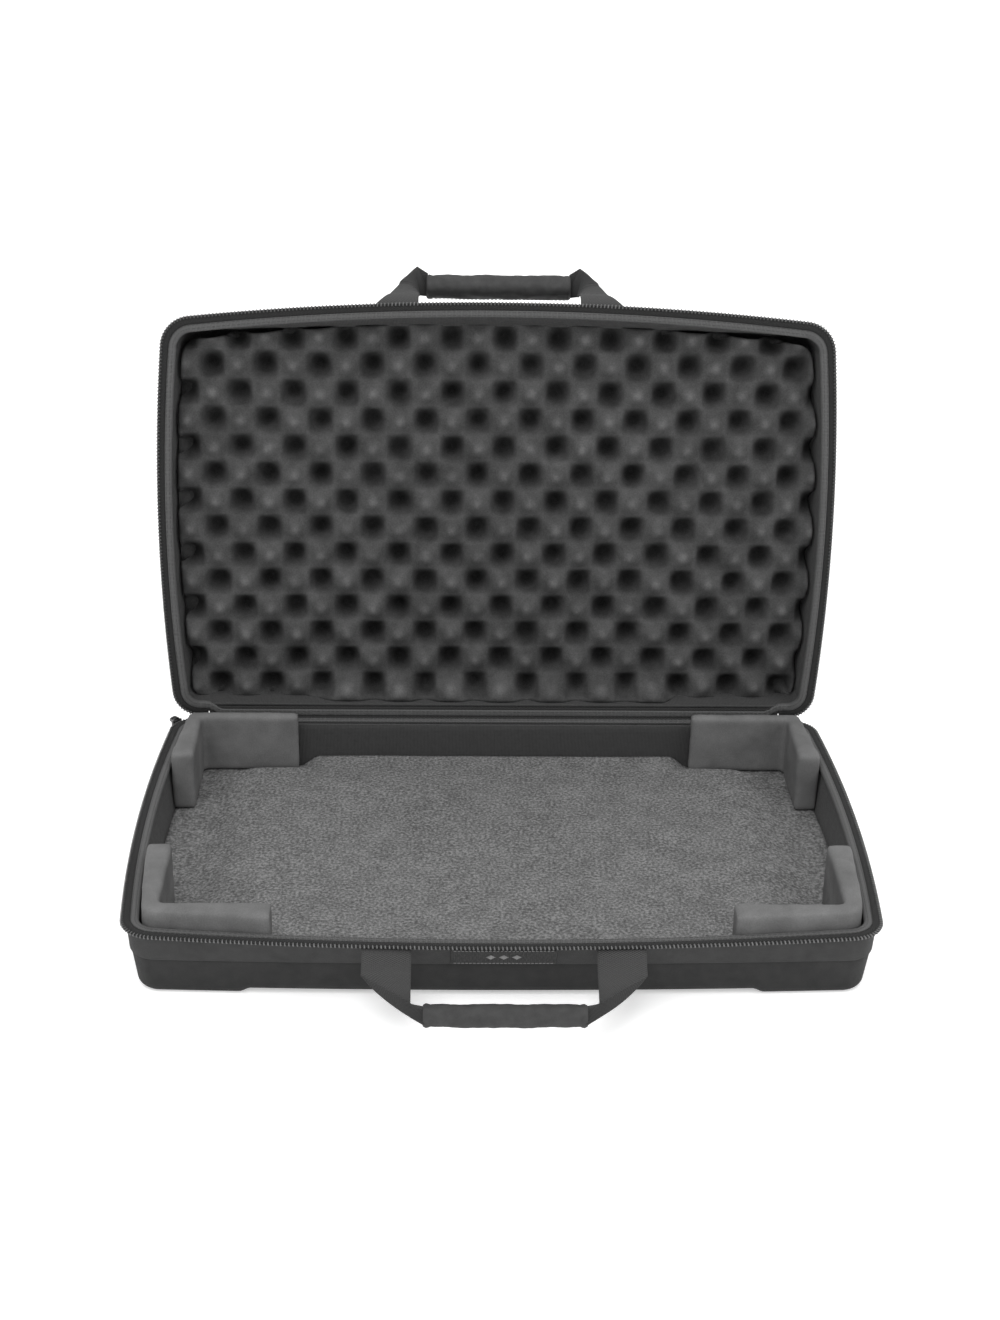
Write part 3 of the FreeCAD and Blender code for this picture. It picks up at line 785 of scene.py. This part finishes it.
def block(name, side_x, side_y, end_y):
    """L-shaped foam block whose outer faces follow the wall."""
    points, share = [], None
    for inset, z in BLOCK_LEVELS:
        wall = outline(inset)
        wall = wall[(wall[:, 0] * side_x > BLOCK_END_X) & (wall[:, 1] * side_y > abs(end_y))]
        wall = wall[np.argsort(np.arctan2(wall[:, 1] * side_y, wall[:, 0] * side_x))]
        start, stop = wall[0].copy(), wall[-1].copy()
        start[1], stop[0] = end_y, BLOCK_END_X * side_x
        in_x, in_y = BLOCK_IN_X * side_x, BLOCK_IN_Y * side_y
        inner = [stop, (BLOCK_END_X * side_x, in_y), (in_x, in_y), (in_x, end_y), start]
        far = run_lengths(wall)
        far /= far[-1]
        if share is None:
            share = far                     # every level's wall is divided like the first one's
        wall = np.stack([np.interp(share, far, wall[:, i]) for i in (0, 1)], 1)
        ring = np.concatenate([wall, np.array(inner)])
        points.append(np.column_stack([ring, np.full(len(ring), z)]))
    n, m = len(points), len(points[0])
    faces = list(grid_faces(n, m, False, True))
    faces += [list(range(m))[::-1], list(range((n - 1) * m, n * m))]
    ob = build(name, np.concatenate(points), faces, in_base, BLOCK)
    face_outward(ob)
    smooth_solid(ob, 2.4, 4)
    me = ob.data
    co = np.array([v.co for v in me.vertices]) / MM
    normal = np.array([v.normal for v in me.vertices])
    push = wobble(co, 34.0, 0.6, 11 + side_x + 3 * side_y) + wobble(co, 6.0, 0.22, 5)
    me.vertices.foreach_set("co", ((co + normal * push[:, None]) * MM).ravel())
    me.update()
    me.materials.clear()
    me.materials.append(BLOCK)
    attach(ob, "base")
    return ob


egg_crate()
pad()
for name_x, side_x in (("left", -1), ("right", 1)):
    for name_y, side_y, end_y in (("front", -1, -67.0), ("rear", 1, 84.0)):
        piece = block("foam_" + name_y + "_" + name_x, side_x, side_y, end_y)
        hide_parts("corner_block_" + name_y + "_" + name_x)


# ---------------------------------------------------------------- handles

# (y, z) of the webbing from under the zip, bent like a spline towards the pivot
ROOT_PATH = ((-192.6, 57.0), (-195.2, 56.4), (-199.6, 53.2))
ROOT_STEPS = 16
PAST_PIVOT = 7
LEG_START = 8                               # where the leg's straight part starts, from the pivot
STRAP_THICK = 2.2
LEG_COLUMNS = 23


def direction(droop):
    """Direction of a handle away from its pivot, as (y, z)."""
    return np.array([-math.cos(math.radians(droop)), -math.sin(math.radians(droop))])


def root_points(d):
    """Side view of the webbing as (y, z), from under the zip to just past the pivot."""
    control = [np.array(p) for p in ROOT_PATH] + [PIVOT, PIVOT + d * PAST_PIVOT]
    points = []
    for t in np.linspace(0, 1, ROOT_STEPS):
        level = control
        while len(level) > 1:
            level = [a * (1 - t) + b * t for a, b in zip(level, level[1:])]
        points.append(level[0])
    return points


def sheet_strip(rows, thick):
    """Closed band from rows of points (m across each), thickened along its own normals."""
    g = np.array(rows, float)
    n, m, _ = g.shape
    normal = np.cross(np.gradient(g, axis=0), np.gradient(g, axis=1))
    normal /= np.linalg.norm(normal, axis=2, keepdims=True) + 1e-9
    edge = np.sin(np.linspace(0, math.pi, m)) ** 0.25
    h = normal * (thick / 2) * np.maximum(edge, 0.35)[None, :, None]
    points = np.concatenate([g + h, (g - h)[:, ::-1]], 1).reshape(-1, 3)
    w = run_lengths(g[0])
    u = np.concatenate([w, w[-1] + thick + w, [2 * w[-1] + 2 * thick]])
    v = run_lengths(g[:, m // 2])
    faces = list(grid_faces(n, 2 * m, False, True))
    uv = list(grid_uv(n, 2 * m, u, v, False, True))
    add_caps(faces, uv, range(2 * m), range((n - 1) * 2 * m, n * 2 * m), True)
    return points, faces, uv


def leg_rows(side, droop, fold):
    """Rows across one leg: full width at the zip, then folded over and drawn in to the grip's end.

    fold = (root, turn_in, bulge, end_in, end_out): how far the outer edge has come in at the pivot,
    where it starts to come in, how far it curves out on its way, and where the inner and outer edges
    meet the grip as (x, distance, height off the leg's plane). Also says which points are folded."""
    root, turn_in, bulge, end_in, end_out = fold
    d = direction(droop)
    up = np.array([d[1], -d[0]])
    rows, folded = [], []
    across = np.linspace(0, 1, LEG_COLUMNS)
    inner, outer = LEG_X - WEBBING / 2, LEG_X + WEBBING / 2
    for i, (y, z) in enumerate(root_points(d)):
        come_in = max(0.0, i / (ROOT_STEPS - 1) - 0.25)
        rows.append([(side * x, y, z) for x in inner + across * (WEBBING - root * come_in / 0.75)])
        folded.append(np.zeros(LEG_COLUMNS, bool))
    for t in np.concatenate([np.linspace(0.03, 1, 42), np.linspace(1.05, 1.3, 6)]):
        closing = max(0.0, (t - 1) / 0.3)   # inside the grip the outer edge closes on the inner one
        t = min(t, 1.0)
        t_in = float(ease((t - 0.86) / 0.13))
        v_in = LEG_START + (end_in[1] - LEG_START) * t
        v_out = LEG_START + (end_out[1] - LEG_START) * t
        share = max(0.0, (v_out - turn_in) / (end_out[1] - turn_in))
        near = (inner + (end_in[0] - inner) * t_in, v_in, end_in[2] * t ** 1.5)
        rest = outer - root
        far_x = rest + (end_out[0] - rest) * share + bulge * math.sin(math.pi * share)
        far = np.array((far_x, v_out, end_out[2] * t))
        far = far + closing * (np.array([end_in[0] + 1.5, v_out, end_out[2] * 0.62]) - far)
        line = np.array(near)[None] + across[:, None] * (far - near)[None]
        crease = turn_in + (outer - line[:, 0]) * (37.0 - turn_in) / WEBBING
        folded.append(line[:, 1] > crease)
        bend = 1.6 * ease((line[:, 1] - crease + 0.8) / 1.6)
        bend = bend + 0.2 * math.sin(v_in * 0.35 + side) + line[:, 2]
        rows.append([(side * x, *(PIVOT + d * v + up * b)) for (x, v, _), b in zip(line, bend)])
    return rows, folded


def grip(name, place, body, droop, half, radius, reach, seed):
    """Sewn wrap round the folded webbing: soft oval tube with a lap seam, gathers and rolled ends."""
    d = direction(droop)
    up = np.array([-d[1], d[0]])
    centre = PIVOT + d * reach
    tip = half + 0.6
    xs = np.concatenate([[-tip], np.linspace(-half, half, 74), [tip]])
    angles = np.linspace(0, 2 * math.pi, 44, endpoint=False)
    rows = []
    for x in xs:
        end = min(1.0, (tip - abs(x)) / 2.2)
        size = radius * (0.9 + 0.1 * math.sqrt(max(end, 0.0)))
        size += 0.55 * math.exp(-((abs(x) - half + 2.2) / 1.3) ** 2)        # rolled end
        size -= 0.35 * math.exp(-((abs(x) - half + 5.4) / 1.6) ** 2)        # groove behind it
        row = []
        for a in angles:
            wide, high = math.cos(a), math.sin(a)
            r = size * (1 + 0.04 * math.cos(4 * a))
            lap = 0.75 / (1 + math.exp(-(a - 1.05) * 22)) * (1 / (1 + math.exp((a - 3.2) * 3)))
            crease = noise.noise(Vector((x / 17 + seed, wide * 1.4, high * 1.4))) * 0.9
            crease += noise.noise(Vector((x / 5.5, wide * 2.2 + seed, high * 2.2))) * 0.4
            r = r + lap + crease
            row.append((x, *(centre + d * wide * r * 1.06 + up * high * r * 0.94)))
        rows.append(row)
    n, m = len(rows), len(angles)
    u = np.linspace(0, 2 * math.pi * 10, m + 1)
    faces = list(grid_faces(n, m, False, True))
    uv = list(grid_uv(n, m, u, np.array(xs) + 70, False, True))
    add_caps(faces, uv, range(m), range((n - 1) * m, n * m), True)
    points = np.concatenate([np.array(r) for r in rows])
    ob = build(name, points, faces, place, GRIP, body, uv)
    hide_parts(body + "_grip_wrap", body + "_grip_core")

    wide, high, drawn_at = 11.3, 9.9, 9.3   # the seams' distance from the middle, for one radius
    lines = []
    for angle in (1.3, 1.62):
        across = d * math.cos(angle) * wide / drawn_at * radius
        out = up * math.sin(angle) * high / drawn_at * radius
        for x in np.arange(-half + 3, half - 3, 3.6):
            lines.append([(x + k, *(centre + across + out)) for k in np.linspace(0, 2.6, 4)])
    curve = np.array([0, 0, 0.001]) * np.arange(4)[None, :, None] ** 2
    points, faces = tubes(np.array(lines) + curve, 0.3, 0.3, 5)
    build(name + "_stitches", points, faces, place, THREAD, body)


def webbing(name, place, half, body, droop, fold):
    """The whole strap of a handle: both legs from under the zip to the grip, bending at the pivot."""
    points, faces, uv, dark = [], [], [], []
    for side in (-1, 1):
        rows, folded = leg_rows(side, droop, fold)
        if side < 0:
            rows, folded = [r[::-1] for r in rows], [r[::-1] for r in folded]
        # faces past the crease take the darker webbing: painted shade of the fold
        dark += [k for r in folded[:-1] for k in [*r, *r[::-1]]] + [False, False]
        p, f, t = sheet_strip(rows, STRAP_THICK)
        faces += [tuple(i + len(points) for i in face) for face in f]
        uv += t
        points += [tuple(q) for q in p]
    ob = build(name, points, faces, place, STRAP, None, uv)
    face_outward(ob)
    ob.data.materials.append(STRAP_FOLD_SHADE)
    ob.data.polygons.foreach_set("material_index", np.array(dark, np.int32))
    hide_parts(body + "_strap", half + "_handle_anchor_left", half + "_handle_anchor_right")
    start, end = place([(0, -198.0, 52.0)])[0], place([(0, -203.5, 46.0)])[0]
    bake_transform(ob)


webbing("base_webbing", in_base, "base", "base_handle", BASE_DROOP,
        (0.0, 10.5, 5.0, (58.0, 39.5, 0.0), (61.5, 55.5, 0.0)))
grip("base_grip", in_base, "base_handle", BASE_DROOP, 61.0, 8.4, 46.4, 1.0)
webbing("lid_webbing", in_lid, "lid", "lid_handle", LID_DROOP,
        (13.0, 8.0, 1.0, (62.0, 46.0, -11.0), (73.0, 50.0, 15.5)))
grip("lid_grip", in_lid, "lid_handle", LID_DROOP, 64.0, 10.6, 48.0, 5.0)


# ---------------------------------------------------------------- label patch, slider, pull

PATCH_HALF, PATCH_LOW, PATCH_HIGH = 41.0, 35.5, 54.6
PATCH_ROWS, PATCH_COLUMNS = 14, 62
LOZENGE_X, LOZENGE_Z = (-10.0, 0.0, 10.0), 45.0
LOZENGE_ROWS, LOZENGE_PITCH = 9, 0.62


def on_band(s, z, lift):
    """Points on the band's face, lifted off it, at lengths s along the rim and height z."""
    p, out = along(s)
    inset = 4.5 + 1.5 * (SHELL_TOP - z) / (SHELL_TOP - BAND_LOW)
    q = p - out * (inset - lift)[:, None]
    q[:, 1] += (FRONT_BOW - bow_at(z)) * (1 - (q[:, 0] / CORNER_X) ** 2)
    return np.column_stack([q, np.full(len(s), z)])


def patch():
    """Plain woven patch on the front of the band: folded edge and three small lozenges."""
    middle = LENGTH[-1] / 2
    n, m = PATCH_ROWS, PATCH_COLUMNS
    s = middle + np.linspace(-PATCH_HALF, PATCH_HALF, m)
    z = np.linspace(PATCH_LOW, PATCH_HIGH, n)

    def face(lift):
        """Grid of points over the patch, lower near its edges."""
        column = np.arange(m)
        side = np.minimum(1.0, np.minimum(column, m - 1 - column) / 1.5)
        grid = []
        for i, zz in enumerate(z):
            edge = min(1.0, i / 1.5, (n - 1 - i) / 1.5)
            grid.append(on_band(s, zz, lift * (0.55 + 0.45 * np.minimum(edge, side))))
        return np.concatenate(grid)

    faces = slab_faces(n, m)
    uv = [[(s[int(i) % (n * m) % m], z[int(i) % (n * m) // m]) for i in f] for f in faces]
    points = np.concatenate([face(0.85), face(-0.1)])
    ob = build("front_patch", points, faces, in_base, LABEL, "base", uv)
    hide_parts("label_patch")

    lines = []                              # (start, end, z) of every thread
    for start in np.arange(-PATCH_HALF + 2.4, PATCH_HALF - 3.4, 3.0):
        for zz in (PATCH_LOW + 1.3, PATCH_HIGH - 1.3):
            lines.append((start, start + 2.0, zz))
    for x in LOZENGE_X:
        for k in range(-(LOZENGE_ROWS // 2), LOZENGE_ROWS // 2 + 1):
            reach = 3.6 * (1 - abs(k) / 4.6)
            lines.append((x - reach, x + reach, LOZENGE_Z + k * LOZENGE_PITCH))
    lift = 0.95 + 0.12 * np.array([0, 1, 1.2, 1, 0])
    paths = [on_band(middle + np.linspace(a, b, 5), zz, lift) for a, b, zz in lines]
    points, faces = tubes(np.array(paths), 0.3, 0.16, 6)
    build("patch_threads", points, faces, in_base, MOTIF, "base")


patch()
for node in ("zip_slider", "zip_pull"):
    refinish(node, METAL)


# ---------------------------------------------------------------- stage, light, camera

FLOOR_HALF = 40000                          # mm, far enough to fill low views
EYE = (-0.0469, -1.5478, 0.9401)
RIGHT, UP = (0.9996, -0.0219, 0.0165), (-0.0052, 0.4384, 0.8987)
FORWARD = (0.0269, 0.8985, -0.4382)


def area(name, place, target, size, power):
    lamp = bpy.data.lights.new(name, "AREA")
    lamp.shape = "RECTANGLE"
    lamp.size, lamp.size_y = size
    lamp.energy = power
    ob = bpy.data.objects.new(name, lamp)
    bpy.context.scene.collection.objects.link(ob)
    ob.location = place
    ob.rotation_euler = (Vector(target) - Vector(place)).to_track_quat("-Z", "Y").to_euler()


floor_mat = Surface("floor", rough=0.7, spec=0.2)
floor_mat.colour(floor_mat.ramp(floor_mat.noise(400, 2), [(0.3, 0.88), (0.7, 0.9)]))
floor_mat.bsdf.inputs["Emission Color"].default_value = (1, 1, 1, 1)
floor_mat.bsdf.inputs["Emission Strength"].default_value = 0.42
corners = [(x * FLOOR_HALF, y * FLOOR_HALF, 0) for x, y in ((-1, -1), (1, -1), (1, 1), (-1, 1))]
floor = build("floor", corners, [(0, 1, 2, 3)], in_base, floor_mat.mat)

world = bpy.data.worlds.new("studio")
world.use_nodes = True
world.node_tree.nodes["Background"].inputs["Color"].default_value = (1, 1, 1, 1)
world.node_tree.nodes["Background"].inputs["Strength"].default_value = 0.8
bpy.context.scene.world = world
area("key", (-0.6, -1.6, 2.6), (0, 0, 0.15), (2.2, 1.6), 42)
area("top", (0.3, 0.3, 2.8), (0, 0, 0.1), (2.4, 2.0), 30)
area("fill", (2.2, -1.2, 1.4), (0, 0, 0.2), (1.6, 1.6), 12)

camera = bpy.data.cameras.new("camera")
camera.lens = 56.44
camera.sensor_width = 36.0
camera.shift_y = 0.00784
camera.clip_start = 0.05
eye = bpy.data.objects.new("camera", camera)
bpy.context.scene.collection.objects.link(eye)
turn = Matrix((RIGHT, UP, tuple(-c for c in FORWARD))).transposed()
eye.matrix_world = Matrix.Translation(EYE) @ turn.to_4x4()
bpy.context.scene.camera = eye
bpy.context.scene.view_settings.view_transform = "Standard"
